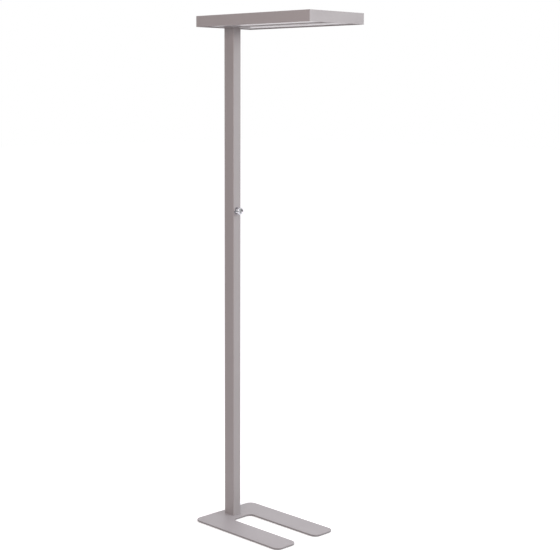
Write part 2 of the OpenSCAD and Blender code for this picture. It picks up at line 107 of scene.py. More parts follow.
def aimAt(thing, target):
    direction = Vector(target) - thing.location
    thing.rotation_euler = direction.to_track_quat("-Z", "Y").to_euler()


def setLights():
    sun = bpy.data.lights.new("overhead", "SUN")
    sun.energy = light["overhead"]
    sun.color = light["overheadTint"]
    sun.angle = math.radians(light["overheadAngle"])
    sunThing = bpy.data.objects.new("overhead", sun)
    sunThing.location = light["overheadPlace"]
    bpy.context.scene.collection.objects.link(sunThing)

    for name, (power, size, tint, place, aim) in light["boxes"].items():
        box = bpy.data.lights.new(name, "AREA")
        box.energy = power
        box.color = tint
        box.size = size
        boxThing = bpy.data.objects.new(name, box)
        boxThing.location = place
        boxThing.visible_camera = False
        aimAt(boxThing, aim)
        bpy.context.scene.collection.objects.link(boxThing)


def seenDirectly(tree):
    # 1 for camera, mirror and see-through rays, 0 for the rays that carry light
    path = tree.nodes.new("ShaderNodeLightPath")
    last = path.outputs["Is Camera Ray"]
    for ray in ("Is Glossy Ray", "Is Transmission Ray"):
        both = tree.nodes.new("ShaderNodeMath")
        both.operation = "MAXIMUM"
        tree.links.new(last, both.inputs[0])
        tree.links.new(path.outputs[ray], both.inputs[1])
        last = both.outputs[0]
    return last


def setWorld():
    world = bpy.data.worlds.new("whiteRoom")
    world.use_nodes = True
    tree = world.node_tree
    tree.nodes.clear()
    out = tree.nodes.new("ShaderNodeOutputWorld")
    fill = tree.nodes.new("ShaderNodeBackground")
    fill.inputs["Color"].default_value = light["roomTint"]
    fill.inputs["Strength"].default_value = light["roomFill"]
    seen = tree.nodes.new("ShaderNodeBackground")
    seen.inputs["Color"].default_value = (1, 1, 1, 1)
    seen.inputs["Strength"].default_value = 1
    mix = tree.nodes.new("ShaderNodeMixShader")
    tree.links.new(seenDirectly(tree), mix.inputs[0])
    tree.links.new(fill.outputs[0], mix.inputs[1])
    tree.links.new(seen.outputs[0], mix.inputs[2])
    tree.links.new(mix.outputs[0], out.inputs["Surface"])
    bpy.context.scene.world = world


# Floor: white, glows a little where it is seen so that only the lamp's shadow stays
floorLook = {
    "size": 60,
    "gap": 0.0005,  # below the underlay
    "color": (1, 1, 1, 1),
    "bounce": (0.45, 0.425, 0.425, 1),  # for the rays that carry light to the lamp
    "glow": 0.358,
}


def makeFloor():
    bpy.ops.mesh.primitive_plane_add(size=floorLook["size"], location=(0, 0, -floorLook["gap"]))
    floor = bpy.context.active_object
    floor.name = "floor"
    material = bpy.data.materials.new("floorWhite")
    material.use_nodes = True
    tree = material.node_tree
    tree.nodes.clear()
    out = tree.nodes.new("ShaderNodeOutputMaterial")
    lit = tree.nodes.new("ShaderNodeBsdfDiffuse")
    lit.inputs["Color"].default_value = floorLook["color"]
    bounce = tree.nodes.new("ShaderNodeBsdfDiffuse")
    bounce.inputs["Color"].default_value = floorLook["bounce"]
    glow = tree.nodes.new("ShaderNodeEmission")
    glow.inputs["Strength"].default_value = floorLook["glow"]
    both = tree.nodes.new("ShaderNodeAddShader")
    mix = tree.nodes.new("ShaderNodeMixShader")
    tree.links.new(lit.outputs[0], both.inputs[0])
    tree.links.new(glow.outputs[0], both.inputs[1])
    tree.links.new(seenDirectly(tree), mix.inputs[0])
    tree.links.new(bounce.outputs[0], mix.inputs[1])
    tree.links.new(both.outputs[0], mix.inputs[2])
    tree.links.new(mix.outputs[0], out.inputs["Surface"])
    floor.data.materials.append(material)


# Grey studio cards, seen only in reflections, where they draw the dark bands of the knob
cards = {
    "knob": (0, -0.045, 1.220),
    "reach": 1.6,
    "step": 0.05,  # each card stands this much nearer than the one before
    "faces": [  # direction from the knob, width and height in degrees, brightness
        ((0.0, 0.79, 0.61), 50, 15, 0.25),
        ((-0.66, 0.75, 0.0), 18, 34, 0.36),
        ((-0.908, -0.243, -0.342), 70, 24, 0.05),
        ((0.782, -0.622, -0.025), 11, 9, 0.04),
        ((0.70, -0.10, 0.71), 50, 34, 0.45),
        ((0.12, 0.73, -0.66), 44, 14, 0.08),
        ((0.654, -0.752, -0.087), 14, 18, 0.55),
        ((-0.50, -0.866, 0.03), 62, 20, 0.16),
        ((0.436, -0.860, 0.262), 24, 24, 0.35),
    ],
}


def makeCards():
    for number, (direction, wide, high, level) in enumerate(cards["faces"]):
        reach = cards["reach"] - cards["step"] * number
        place = Vector(cards["knob"]) + Vector(direction).normalized() * reach
        selectNothing()
        bpy.ops.mesh.primitive_plane_add(size=1, location=place)
        card = bpy.context.active_object
        card.name = f"card{number}"
        aimAt(card, cards["knob"])
        width, height = (2 * reach * math.tan(math.radians(angle / 2)) for angle in (wide, high))
        card.scale = (width, height, 1)
        card.visible_camera = False
        card.visible_shadow = False
        card.visible_diffuse = False
        material = bpy.data.materials.new(f"card{number}")
        material.use_nodes = True
        shader = material.node_tree.nodes["Principled BSDF"]
        shader.inputs["Base Color"].default_value = (0, 0, 0, 1)
        shader.inputs["Roughness"].default_value = 1
        shader.inputs["Emission Color"].default_value = (1, 1, 1, 1)
        shader.inputs["Emission Strength"].default_value = level
        card.data.materials.append(material)


bpy.context.scene.view_settings.view_transform = "Standard"
setCamera()
setLights()
setWorld()
makeFloor()
makeCards()
print("camera, lights and floor set")


# Shared effects, each a node group with named inputs and outputs
def newGroup(name, inputs, outputs):
    group = bpy.data.node_groups.new(name, "ShaderNodeTree")
    for label, kind, value in inputs:
        socket = group.interface.new_socket(name=label, in_out="INPUT", socket_type=kind)
        socket.default_value = value
    for label, kind in outputs:
        group.interface.new_socket(name=label, in_out="OUTPUT", socket_type=kind)
    start = group.nodes.new("NodeGroupInput")
    end = group.nodes.new("NodeGroupOutput")
    return group, start, end


def addNoise(tree, scaleFrom, detail, roughness=0.5):
    noise = tree.nodes.new("ShaderNodeTexNoise")
    noise.inputs["Detail"].default_value = detail
    noise.inputs["Roughness"].default_value = roughness
    tree.links.new(scaleFrom, noise.inputs["Scale"])
    return noise


def addMath(tree, operation, first, second):
    node = tree.nodes.new("ShaderNodeMath")
    node.operation = operation
    for slot, value in enumerate((first, second)):
        if isinstance(value, (int, float)):
            node.inputs[slot].default_value = value
        else:
            tree.links.new(value, node.inputs[slot])
    return node.outputs[0]


def addMix(tree, factor, first, second):
    node = tree.nodes.new("ShaderNodeMix")
    node.data_type = "RGBA"
    tree.links.new(factor, node.inputs[0])
    for slot, value in ((6, first), (7, second)):
        if isinstance(value, tuple):
            node.inputs[slot].default_value = value
        else:
            tree.links.new(value, node.inputs[slot])
    return node.outputs[2]


def addTint(tree, color, tint):
    node = tree.nodes.new("ShaderNodeMix")
    node.data_type = "RGBA"
    node.blend_type = "MULTIPLY"
    node.inputs[0].default_value = 1
    tree.links.new(color, node.inputs[6])
    tree.links.new(tint, node.inputs[7])
    return node.outputs[2]


def makeToneGroup():
    # Slow drift of a colour between two tones, with fine grain on top
    group, start, end = newGroup("toneDrift", [
        ("Vector", "NodeSocketVector", (0, 0, 0)),
        ("Low", "NodeSocketColor", (0.5, 0.5, 0.5, 1)),
        ("High", "NodeSocketColor", (0.6, 0.6, 0.6, 1)),
        ("Drift Scale", "NodeSocketFloat", 4.0),
        ("Grain Scale", "NodeSocketFloat", 900.0),
        ("Grain Share", "NodeSocketFloat", 0.4),
    ], [("Color", "NodeSocketColor")])
    drift = addNoise(group, start.outputs["Drift Scale"], 3)
    grain = addNoise(group, start.outputs["Grain Scale"], 2, 0.7)
    for noise in (drift, grain):
        group.links.new(start.outputs["Vector"], noise.inputs["Vector"])
    fine = addMath(group, "MULTIPLY", grain.outputs["Fac"], start.outputs["Grain Share"])
    rest = addMath(group, "SUBTRACT", 1.0, start.outputs["Grain Share"])
    slow = addMath(group, "MULTIPLY", drift.outputs["Fac"], rest)
    mask = addMath(group, "ADD", fine, slow)
    color = addMix(group, mask, start.outputs["Low"], start.outputs["High"])
    group.links.new(color, end.inputs["Color"])
    return group


def makePeelGroup():
    # Height of a sprayed and baked coat: fine peel with a little coarser unevenness
    group, start, end = newGroup("coatPeel", [
        ("Vector", "NodeSocketVector", (0, 0, 0)),
        ("Peel Scale", "NodeSocketFloat", 1400.0),
        ("Wave Scale", "NodeSocketFloat", 180.0),
        ("Wave Share", "NodeSocketFloat", 0.3),
    ], [("Height", "NodeSocketFloat")])
    peel = addNoise(group, start.outputs["Peel Scale"], 2)
    wave = addNoise(group, start.outputs["Wave Scale"], 1)
    for noise in (peel, wave):
        group.links.new(start.outputs["Vector"], noise.inputs["Vector"])
    coarse = addMath(group, "MULTIPLY", wave.outputs["Fac"], start.outputs["Wave Share"])
    height = addMath(group, "ADD", peel.outputs["Fac"], coarse)
    group.links.new(height, end.inputs["Height"])
    return group


def makeBrushGroup():
    # Fine lines along one direction, as turning or rolling leaves them
    group, start, end = newGroup("toolLines", [
        ("Vector", "NodeSocketVector", (0, 0, 0)),
        ("Scale", "NodeSocketFloat", 900.0),
    ], [("Height", "NodeSocketFloat")])
    lines = addNoise(group, start.outputs["Scale"], 3, 0.6)
    group.links.new(start.outputs["Vector"], lines.inputs["Vector"])
    group.links.new(lines.outputs["Fac"], end.inputs["Height"])
    return group


def makeSmudgeGroup():
    # Roughness that faint smudges lift in places
    group, start, end = newGroup("handling", [
        ("Vector", "NodeSocketVector", (0, 0, 0)),
        ("Scale", "NodeSocketFloat", 14.0),
        ("Low", "NodeSocketFloat", 0.3),
        ("High", "NodeSocketFloat", 0.4),
    ], [("Roughness", "NodeSocketFloat")])
    smudge = addNoise(group, start.outputs["Scale"], 5, 0.6)
    group.links.new(start.outputs["Vector"], smudge.inputs["Vector"])
    spread = group.nodes.new("ShaderNodeMapRange")
    # the noise seldom leaves this middle stretch
    spread.inputs["From Min"].default_value = 0.35
    spread.inputs["From Max"].default_value = 0.65
    group.links.new(smudge.outputs["Fac"], spread.inputs["Value"])
    group.links.new(start.outputs["Low"], spread.inputs["To Min"])
    group.links.new(start.outputs["High"], spread.inputs["To Max"])
    group.links.new(spread.outputs["Result"], end.inputs["Roughness"])
    return group


toneGroup = makeToneGroup()
peelGroup = makePeelGroup()
brushGroup = makeBrushGroup()
smudgeGroup = makeSmudgeGroup()


def placeGroup(tree, group, vector, **values):
    node = tree.nodes.new("ShaderNodeGroup")
    node.node_tree = group
    tree.links.new(vector, node.inputs["Vector"])
    for label, value in values.items():
        node.inputs[label.replace("_", " ")].default_value = value
    return node


def newFinish(name, stretch=(1, 1, 1)):
    # Material with its shader and a pattern vector, stretched where the finish has a direction
    material = bpy.data.materials.new(name)
    material.use_nodes = True
    tree = material.node_tree
    shader = tree.nodes["Principled BSDF"]
    place = tree.nodes.new("ShaderNodeTexCoord")
    mapping = tree.nodes.new("ShaderNodeMapping")
    mapping.inputs["Scale"].default_value = stretch
    tree.links.new(place.outputs["Object"], mapping.inputs["Vector"])
    return material, tree, shader, mapping.outputs["Vector"]


def joinFinish(tree, shader, color, roughness, height, depth, strength):
    tree.links.new(color, shader.inputs["Base Color"])
    tree.links.new(roughness, shader.inputs["Roughness"])
    bump = tree.nodes.new("ShaderNodeBump")
    bump.inputs["Distance"].default_value = depth
    bump.inputs["Strength"].default_value = strength
    tree.links.new(height, bump.inputs["Height"])
    tree.links.new(bump.outputs["Normal"], shader.inputs["Normal"])


def gray(level):
    return (level, level, level, 1)


# Finishes
coat = {
    "low": (0.382, 0.358, 0.360, 1),
    "high": (0.434, 0.406, 0.408, 1),
    "metallic": 0.15,
    "roughLow": 0.46,
    "roughHigh": 0.56,
    "driftScale": 3.0,
    "grainScale": 2600.0,
    "grainShare": 0.55,
    "peelScale": 1500.0,
    "waveScale": 220.0,
    "waveShare": 0.35,
    "smudgeScale": 9.0,
    "peelDepth": 0.00006,
    "bump": 0.5,
    "upright": 0.5,  # a face whose normal rises less than this counts as upright
    "paintedEdgeShade": 0.75,  # painted shade: the base plate's upright edges darkened against its top
    "baseTint": (1.07, 1.085, 1.095),
}


def paintedShadeMask(tree):
    # 1 on upright faces, 0 on level ones: where the painted shade goes
    place = tree.nodes.new("ShaderNodeTexCoord")
    split = tree.nodes.new("ShaderNodeSeparateXYZ")
    tree.links.new(place.outputs["Normal"], split.inputs[0])
    level = addMath(tree, "ABSOLUTE", split.outputs["Z"], 0.0)
    return addMath(tree, "LESS_THAN", level, coat["upright"])


def makeCoat(name, paintedEdgeShade=1.0, tint=(1, 1, 1)):
    material, tree, shader, vector = newFinish(name)
    low, high = (tuple(c * t for c, t in zip(coat[end], tint)) + (1,) for end in ("low", "high"))
    tone = placeGroup(tree, toneGroup, vector, Low=low, High=high,
                      Drift_Scale=coat["driftScale"], Grain_Scale=coat["grainScale"],
                      Grain_Share=coat["grainShare"])
    color = tone.outputs["Color"]
    # Painted shade: upright faces get a darker colour than level ones, standing in for the light they miss
    if paintedEdgeShade < 1:
        shade = addMix(tree, paintedShadeMask(tree), gray(1.0), gray(paintedEdgeShade))
        color = addTint(tree, color, shade)
    peel = placeGroup(tree, peelGroup, vector, Peel_Scale=coat["peelScale"],
                      Wave_Scale=coat["waveScale"], Wave_Share=coat["waveShare"])
    smudge = placeGroup(tree, smudgeGroup, vector, Scale=coat["smudgeScale"],
                        Low=coat["roughLow"], High=coat["roughHigh"])
    shader.inputs["Metallic"].default_value = coat["metallic"]
    joinFinish(tree, shader, color, smudge.outputs["Roughness"],
               peel.outputs["Height"], coat["peelDepth"], coat["bump"])
    return material


metal = {
    "darker": 0.92,  # the tones' ends as shares of the colour
    "lighter": 1.06,
    "driftScale": 20.0,
    "grainScale": 1200.0,
    "grainShare": 0.5,
    "smudgeScale": 60.0,
    "smoother": 0.85,  # the roughness's ends as shares of the given one
    "rougher": 1.2,
    "bump": 0.4,
}


def makeMetal(name, color, roughness, stretch, lineScale, depth):
    material, tree, shader, vector = newFinish(name, stretch)
    low = tuple(c * metal["darker"] for c in color) + (1,)
    high = tuple(min(c * metal["lighter"], 1) for c in color) + (1,)
    tone = placeGroup(tree, toneGroup, vector, Low=low, High=high,
                      Drift_Scale=metal["driftScale"], Grain_Scale=metal["grainScale"],
                      Grain_Share=metal["grainShare"])
    lines = placeGroup(tree, brushGroup, vector, Scale=lineScale)
    smudge = placeGroup(tree, smudgeGroup, vector, Scale=metal["smudgeScale"],
                        Low=roughness * metal["smoother"], High=roughness * metal["rougher"])
    shader.inputs["Metallic"].default_value = 1
    joinFinish(tree, shader, tone.outputs["Color"], smudge.outputs["Roughness"],
               lines.outputs["Height"], depth, metal["bump"])
    return material


plastic = {
    "driftScale": 12.0,
    "grainShare": 0.3,
    "waveStep": 8,  # the unevenness is this much coarser than the grain
    "waveShare": 0.5,
    "smudgeScale": 30.0,
    "smoother": 0.9,
    "rougher": 1.12,
    "bump": 0.5,
}


def makePlastic(name, color, roughness, grainScale, depth, spread=0.06):
    material, tree, shader, vector = newFinish(name)
    low = tuple(c * (1 - spread) for c in color) + (1,)
    high = tuple(min(c * (1 + spread), 1) for c in color) + (1,)
    tone = placeGroup(tree, toneGroup, vector, Low=low, High=high,
                      Drift_Scale=plastic["driftScale"], Grain_Scale=grainScale,
                      Grain_Share=plastic["grainShare"])
    peel = placeGroup(tree, peelGroup, vector, Peel_Scale=grainScale,
                      Wave_Scale=grainScale / plastic["waveStep"], Wave_Share=plastic["waveShare"])
    smudge = placeGroup(tree, smudgeGroup, vector, Scale=plastic["smudgeScale"],
                        Low=roughness * plastic["smoother"], High=roughness * plastic["rougher"])
    joinFinish(tree, shader, tone.outputs["Color"], smudge.outputs["Roughness"],
               peel.outputs["Height"], depth, plastic["bump"])
    return material


rubber = {
    "low": 0.035,
    "high": 0.055,
    "driftScale": 8.0,
    "grainScale": 1100.0,
    "grainShare": 0.5,
    "pebbles": 450,
    "pebbleDepth": 0.0003,
    "bump": 0.6,
    "smudgeScale": 12.0,
    "roughLow": 0.62,
    "roughHigh": 0.78,
}


def makeRubber(name):
    # Pebbled sheet: small cells on top of the tone drift
    material, tree, shader, vector = newFinish(name)
    tone = placeGroup(tree, toneGroup, vector, Low=gray(rubber["low"]), High=gray(rubber["high"]),
                      Drift_Scale=rubber["driftScale"], Grain_Scale=rubber["grainScale"],
                      Grain_Share=rubber["grainShare"])
    cells = tree.nodes.new("ShaderNodeTexVoronoi")
    cells.inputs["Scale"].default_value = rubber["pebbles"]
    tree.links.new(vector, cells.inputs["Vector"])
    smudge = placeGroup(tree, smudgeGroup, vector, Scale=rubber["smudgeScale"],
                        Low=rubber["roughLow"], High=rubber["roughHigh"])
    joinFinish(tree, shader, tone.outputs["Color"], smudge.outputs["Roughness"],
               cells.outputs["Distance"], rubber["pebbleDepth"], rubber["bump"])
    return material


opal = {
    "driftScale": 2.5,
    "grainScale": 800.0,
    "grainShare": 0.2,
    "prisms": 620,
    "prismDepth": 0.00008,
    "bump": 0.4,
    "smudgeScale": 5.0,
    "roughLow": 0.22,
    "roughHigh": 0.28,
    "under": 0.1,  # share of light that spreads inside the sheet
    "spread": (0.002, 0.002, 0.002),
}


def makeOpal(name, low, high):
    # Satin light-spreading sheet with a fine prism structure
    material, tree, shader, vector = newFinish(name)
    tone = placeGroup(tree, toneGroup, vector, Low=low, High=high,
                      Drift_Scale=opal["driftScale"], Grain_Scale=opal["grainScale"],
                      Grain_Share=opal["grainShare"])
    cells = tree.nodes.new("ShaderNodeTexVoronoi")
    cells.feature = "SMOOTH_F1"
    cells.inputs["Scale"].default_value = opal["prisms"]
    tree.links.new(vector, cells.inputs["Vector"])
    smudge = placeGroup(tree, smudgeGroup, vector, Scale=opal["smudgeScale"],
                        Low=opal["roughLow"], High=opal["roughHigh"])
    shader.inputs["Subsurface Weight"].default_value = opal["under"]
    shader.inputs["Subsurface Radius"].default_value = opal["spread"]
    joinFinish(tree, shader, tone.outputs["Color"], smudge.outputs["Roughness"],
               cells.outputs["Distance"], opal["prismDepth"], opal["bump"])
    return material


# Metals: colour, roughness, stretch of the pattern, line scale, depth
# Plastics: colour, roughness, grain scale, depth, spread of the tone
finishes = {
    "underlay": makeRubber("underlayRubber"),
    # the base coat carries painted shade on the plate's upright edges
    "base_paint": makeCoat("baseCoat", coat["paintedEdgeShade"], coat["baseTint"]),
    "mast_paint": makeCoat("mastCoat"),
    "head_paint": makeCoat("headCoat"),
    "screw_steel": makeMetal("zincSteel", (0.55, 0.55, 0.56), 0.32, (1, 1, 1), 700, 0.00004),
    "block_alu": makeMetal("milledAluminium", (0.66, 0.66, 0.67), 0.36, (1, 1, 9), 260, 0.00005),
    "gland_black": makePlastic("glandBlack", (0.03, 0.03, 0.032), 0.45, 1500.0, 0.00006),
    "dimmer_chrome": makeMetal("dimmerChrome", (0.63, 0.63, 0.66), 0.045, (1, 1, 1), 500, 0.000002),
    "dimmer_brass": makeMetal("turnedBrass", (0.72, 0.52, 0.22), 0.25, (1, 14, 1), 300, 0.00003),
    "dimmer_black": makePlastic("housingBlack", (0.04, 0.04, 0.044), 0.4, 1700.0, 0.00005),
    "cable_grey": makePlastic("cableGrey", (0.22, 0.22, 0.23), 0.5, 1300.0, 0.00005),
    "diffuser_opal": makeOpal("diffuserOpal", (0.88, 0.88, 0.885, 1), (0.92, 0.92, 0.92, 1)),
    "cover_opal": makeOpal("coverOpal", (0.83, 0.83, 0.83, 1), (0.87, 0.87, 0.865, 1)),
    "reflector_white": makePlastic("reflectorWhite", (0.86, 0.86, 0.85), 0.35, 1400.0, 0.00004, 0.02),
    "board_white": makePlastic("boardWhite", (0.82, 0.84, 0.79), 0.3, 900.0, 0.00004, 0.03),
    "led_yellow": makePlastic("ledYellow", (0.88, 0.70, 0.22), 0.25, 2200.0, 0.00003, 0.05),
    "driver_white": makePlastic("driverWhite", (0.82, 0.82, 0.81), 0.42, 1500.0, 0.00006, 0.03),
}
print("finishes made:", len(finishes))


# Modelling helpers
meshing = {
    "smoothAngle": 30,  # degrees, sharper edges stay hard
    "flatAngle": 1,  # faces this close to one plane become one
    "near": 0.00002,  # points this close count as level with each other
    "weld": 0.00001,
    "cadWeld": 0.000005,
    "roundAngle": 35,  # edges sharper than this are rounded
    "easeSteps": 2,
}


def selectOnly(piece):
    selectNothing()
    piece.select_set(True)
    bpy.context.view_layer.objects.active = piece


def editStart(piece):
    selectOnly(piece)
    bpy.ops.object.mode_set(mode="EDIT")
    bpy.ops.mesh.select_all(action="DESELECT")


def editEnd():
    bpy.ops.object.mode_set(mode="OBJECT")


def pickFaces(piece, test):
    bpy.ops.mesh.select_mode(type="FACE")
    bpy.ops.mesh.select_all(action="DESELECT")
    mesh = bmesh.from_edit_mesh(piece.data)
    for face in mesh.faces:
        if test(face):
            face.select_set(True)
    bmesh.update_edit_mesh(piece.data)


def pickEdges(piece, test):
    bpy.ops.mesh.select_mode(type="EDGE")
    bpy.ops.mesh.select_all(action="DESELECT")
    mesh = bmesh.from_edit_mesh(piece.data)
    for edge in mesh.edges:
        if test(edge):
            edge.select_set(True)
    bmesh.update_edit_mesh(piece.data)


def near(a, b):
    return abs(a - b) < meshing["near"]


def newBlock(name, low, high):
    # Cube primitive drawn to its size, at its place
    selectNothing()
    centre = [(a + b) / 2 for a, b in zip(low, high)]
    size = [b - a for a, b in zip(low, high)]
    bpy.ops.mesh.primitive_cube_add(size=1, location=centre, scale=size)
    piece = bpy.context.active_object
    piece.name = name
    piece.data.name = name
    bpy.ops.object.transform_apply(location=True, rotation=True, scale=True)
    return piece


def newRound(name, centre, radius, length, axis, sides, tip=None):
    # Cylinder or cone primitive along X, Y or Z, its tip radius towards the axis's positive end
    selectNothing()
    turn = {"X": (0, math.radians(90), 0), "Y": (math.radians(-90), 0, 0), "Z": (0, 0, 0)}[axis]
    bpy.ops.mesh.primitive_cone_add(vertices=sides, radius1=radius, radius2=radius if tip is None else tip,
                                    depth=length, location=centre, rotation=turn)
    piece = bpy.context.active_object
    piece.name = name
    piece.data.name = name
    bpy.ops.object.transform_apply(location=True, rotation=True, scale=True)
    return piece


def cutWith(piece, cutters):
    # Boolean cut by each cutter, which is then thrown away
    for cutter in cutters:
        selectOnly(piece)
        cut = piece.modifiers.new("cut", "BOOLEAN")
        cut.operation = "DIFFERENCE"
        cut.solver = "EXACT"
        cut.object = cutter
        bpy.ops.object.modifier_apply(modifier=cut.name)
        bpy.data.objects.remove(cutter, do_unlink=True)


def mergeDoubles(piece):
    # Closes the hairlines that a cut leaves where two cutters met
    editStart(piece)
    bpy.ops.mesh.select_all(action="SELECT")
    bpy.ops.mesh.remove_doubles(threshold=meshing["weld"])
    bpy.ops.mesh.dissolve_degenerate(threshold=meshing["weld"] / 10)
    editEnd()


def roundEdges(piece, width, segments=3):
    selectOnly(piece)
    bevel = piece.modifiers.new("round", "BEVEL")
    bevel.width = width
    bevel.segments = segments
    bevel.limit_method = "ANGLE"
    bevel.angle_limit = math.radians(meshing["roundAngle"])
    bevel.use_clamp_overlap = True
    bpy.ops.object.modifier_apply(modifier=bevel.name)


def smoothByAngle(piece):
    selectOnly(piece)
    bpy.ops.object.shade_smooth_by_angle(angle=math.radians(meshing["smoothAngle"]))


def evenFlats(piece):
    # Normals follow the large faces, so a rounded edge doesn't shade the flat beside it
    selectOnly(piece)
    even = piece.modifiers.new("even", "WEIGHTED_NORMAL")
    even.mode = "FACE_AREA"
    even.keep_sharp = True
    bpy.ops.object.modifier_apply(modifier=even.name)


def finishPiece(piece, body, slot, *nodes):
    piece.data.materials.clear()
    piece.data.materials.append(finishes[slot])
    smoothByAngle(piece)
    if slot != "screw_steel":  # small steel pieces keep plain smoothing
        evenFlats(piece)
    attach(piece, body)
    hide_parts(*nodes)


def copyOf(node, name):
    # Merged copy of a CAD node's mesh, ready for rounded edges
    selectNothing()
    piece = bpy.data.objects.new(name, frame["nodes"][node].data.copy())
    piece.data.name = name
    bpy.context.scene.collection.objects.link(piece)
    editStart(piece)
    bpy.ops.mesh.select_all(action="SELECT")
    bpy.ops.mesh.remove_doubles(threshold=meshing["cadWeld"])
    bpy.ops.mesh.dissolve_limited(angle_limit=math.radians(meshing["flatAngle"]))
    editEnd()
    return piece


# Base plate
plate = {
    "halfSlot": 0.049,
    "slotEnd": -0.052,
    "outerRadius": 0.027,
    "slotRadius": 0.020,
    "cornerSteps": 14,
    "edgeRound": 0.0006,
    "screwAt": (0.011, 0.018),
    "headRadius": 0.0058,
    "headDepth": 0.003,
    "holeRadius": 0.00305,
    "cutSides": 48,
    "cutOver": 0.0004,  # how far the countersink's cutter stands out of the plate
    "cutMiddle": 0.005,
    "cutThrough": 0.02,
}


def makeBasePlate():
    low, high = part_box("base_plate")
    piece = newBlock("basePlate", (low.x, plate["slotEnd"], low.z), high)
    editStart(piece)
    for x in (-plate["halfSlot"], plate["halfSlot"]):
        bpy.ops.mesh.select_all(action="SELECT")
        bpy.ops.mesh.bisect(plane_co=(x, 0, 0), plane_no=(1, 0, 0))
    pickFaces(piece, lambda f: f.normal.y < -0.9 and abs(f.calc_center_median().x) > plate["halfSlot"])
    bpy.ops.mesh.extrude_region_move(TRANSFORM_OT_translate={"value": (0, low.y - plate["slotEnd"], 0)})

    def upright(edge):
        return near(edge.verts[0].co.x, edge.verts[1].co.x) and near(edge.verts[0].co.y, edge.verts[1].co.y)

    def outerCorner(edge):
        at = edge.verts[0].co
        return upright(edge) and (near(at.y, low.y) or (near(at.y, high.y) and near(abs(at.x), high.x)))

    def slotCorner(edge):
        at = edge.verts[0].co
        return upright(edge) and near(at.y, plate["slotEnd"]) and near(abs(at.x), plate["halfSlot"])

    pickEdges(piece, slotCorner)
    bpy.ops.mesh.bevel(offset=plate["slotRadius"], segments=plate["cornerSteps"], affect="EDGES")
    pickEdges(piece, outerCorner)
    bpy.ops.mesh.bevel(offset=plate["outerRadius"], segments=plate["cornerSteps"], affect="EDGES")
    bpy.ops.mesh.select_all(action="SELECT")
    bpy.ops.mesh.remove_doubles(threshold=meshing["weld"])
    bpy.ops.mesh.dissolve_limited(angle_limit=math.radians(meshing["flatAngle"]))
    editEnd()
    cutters = []
    for x in (-plate["screwAt"][0], plate["screwAt"][0]):
        for y in (-plate["screwAt"][1], plate["screwAt"][1]):
            sinkAt = (x, y, low.z + plate["headDepth"] / 2 - plate["cutOver"] / 2)
            sinkLength = plate["headDepth"] + plate["cutOver"]
            cutters.append(newRound("sink", sinkAt, plate["headRadius"], sinkLength, "Z", plate["cutSides"],
                                    plate["holeRadius"]))
            cutters.append(newRound("hole", (x, y, low.z + plate["cutMiddle"]), plate["holeRadius"],
                                    plate["cutThrough"], "Z", plate["cutSides"]))
    roundEdges(piece, plate["edgeRound"])
    cutWith(piece, cutters)
    finishPiece(piece, "lamp", "base_paint", "base_plate")


# Underlay, drawn in from the plate's edge
underlay = {
    "edgeRound": 0.0004,
}


def makeUnderlay():
    piece = copyOf("base_mat", "baseUnderlay")
    roundEdges(piece, underlay["edgeRound"], meshing["easeSteps"])
    finishPiece(piece, "lamp", "underlay", "base_mat")


def middleZ(node):
    low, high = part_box(node)
    return (low.z + high.z) / 2


# Countersunk screws with a hexagon socket: four under the base, two at the mast's foot and two at its top
screws = {
    "baseAt": [(x, y, 0.002) for x in (-0.011, 0.011) for y in (-0.018, 0.018)],
    "backZ": 0.011,  # up and down from their middle
    "base": {"headRadius": 0.00575, "headDepth": 0.003, "shankRadius": 0.003, "socket": 0.0023},
    "back": {"headRadius": 0.0045, "headDepth": 0.0014, "shankRadius": 0.0025, "socket": 0.0017},
    "baseLength": 0.020,
    "headSides": 48,
    "shankSides": 32,
    "socketSides": 6,
    "socketMiddle": 0.4,  # the socket's place and depth as shares of its radius
    "socketDepth": 0.9,
}


def makeScrews(name, node, places, axis, flip, look, length):
    # Each stands along the axis from its head's face; flip turns it to point the other way
    parts = []
    sign = -1 if flip else 1
    step = {"Y": Vector((0, 1, 0)), "Z": Vector((0, 0, 1))}[axis] * sign
    narrow, wide, depth, socket = look["shankRadius"], look["headRadius"], look["headDepth"], look["socket"]
    base, tip = (narrow, wide) if flip else (wide, narrow)
    for place in places:
        at = Vector(place)
        head = newRound(name, at + step * depth / 2, base, depth, axis, screws["headSides"], tip)
        cutWith(head, [newRound("socket", at + step * socket * screws["socketMiddle"], socket,
                                socket * screws["socketDepth"], axis, screws["socketSides"])])
        shank = newRound(name, at + step * (depth + length) / 2, narrow, length - depth, axis,
                         screws["shankSides"])
        # The shank joins after the cut, because a cut through two touching shells leaves nothing
        selectOnly(head)
        shank.select_set(True)
        bpy.ops.object.join()
        parts.append(head)
    selectOnly(parts[0])
    for part in parts[1:]:
        part.select_set(True)
    bpy.ops.object.join()
    piece = bpy.context.active_object
    piece.name = name
    finishPiece(piece, "lamp", "screw_steel", node)


def makeAllScrews():
    makeScrews("baseScrews", "base_screws", screws["baseAt"], "Z", False, screws["base"],
               screws["baseLength"])
    for name, node in (("footScrews", "mast_foot_screws"), ("topScrews", "mast_top_screws")):
        low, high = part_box(node)
        places = [(0, high.y, middleZ(node) + side * screws["backZ"]) for side in (-1, 1)]
        makeScrews(name, node, places, "Y", True, screws["back"], high.y - low.y)


# Mast tube
mast = {
    "cornerRadius": 0.003,
    "cornerSteps": 6,
    "wall": 0.002,
    "frontHole": 0.00495,
    "dimmerZ": middleZ("dimmer_ring"),
    "glandHole": 0.00595,
    "glandZ": middleZ("cord_gland"),
    "sinkRadius": 0.00455,
    "sinkDepth": 0.0014,
    "sinkTip": 0.0024,  # narrower than the screw hole, so the two cuts share no wall
    "screwHole": 0.00255,
    "sinkSides": 48,
    "holeSides": 40,  # unlike the countersink's, so that no points of the two cuts fall together
    "boreSides": 64,
    "cutOver": 0.0002,
    "cutThrough": 0.01,
    "longEdge": 1,  # only the four upright edges are longer than this
}


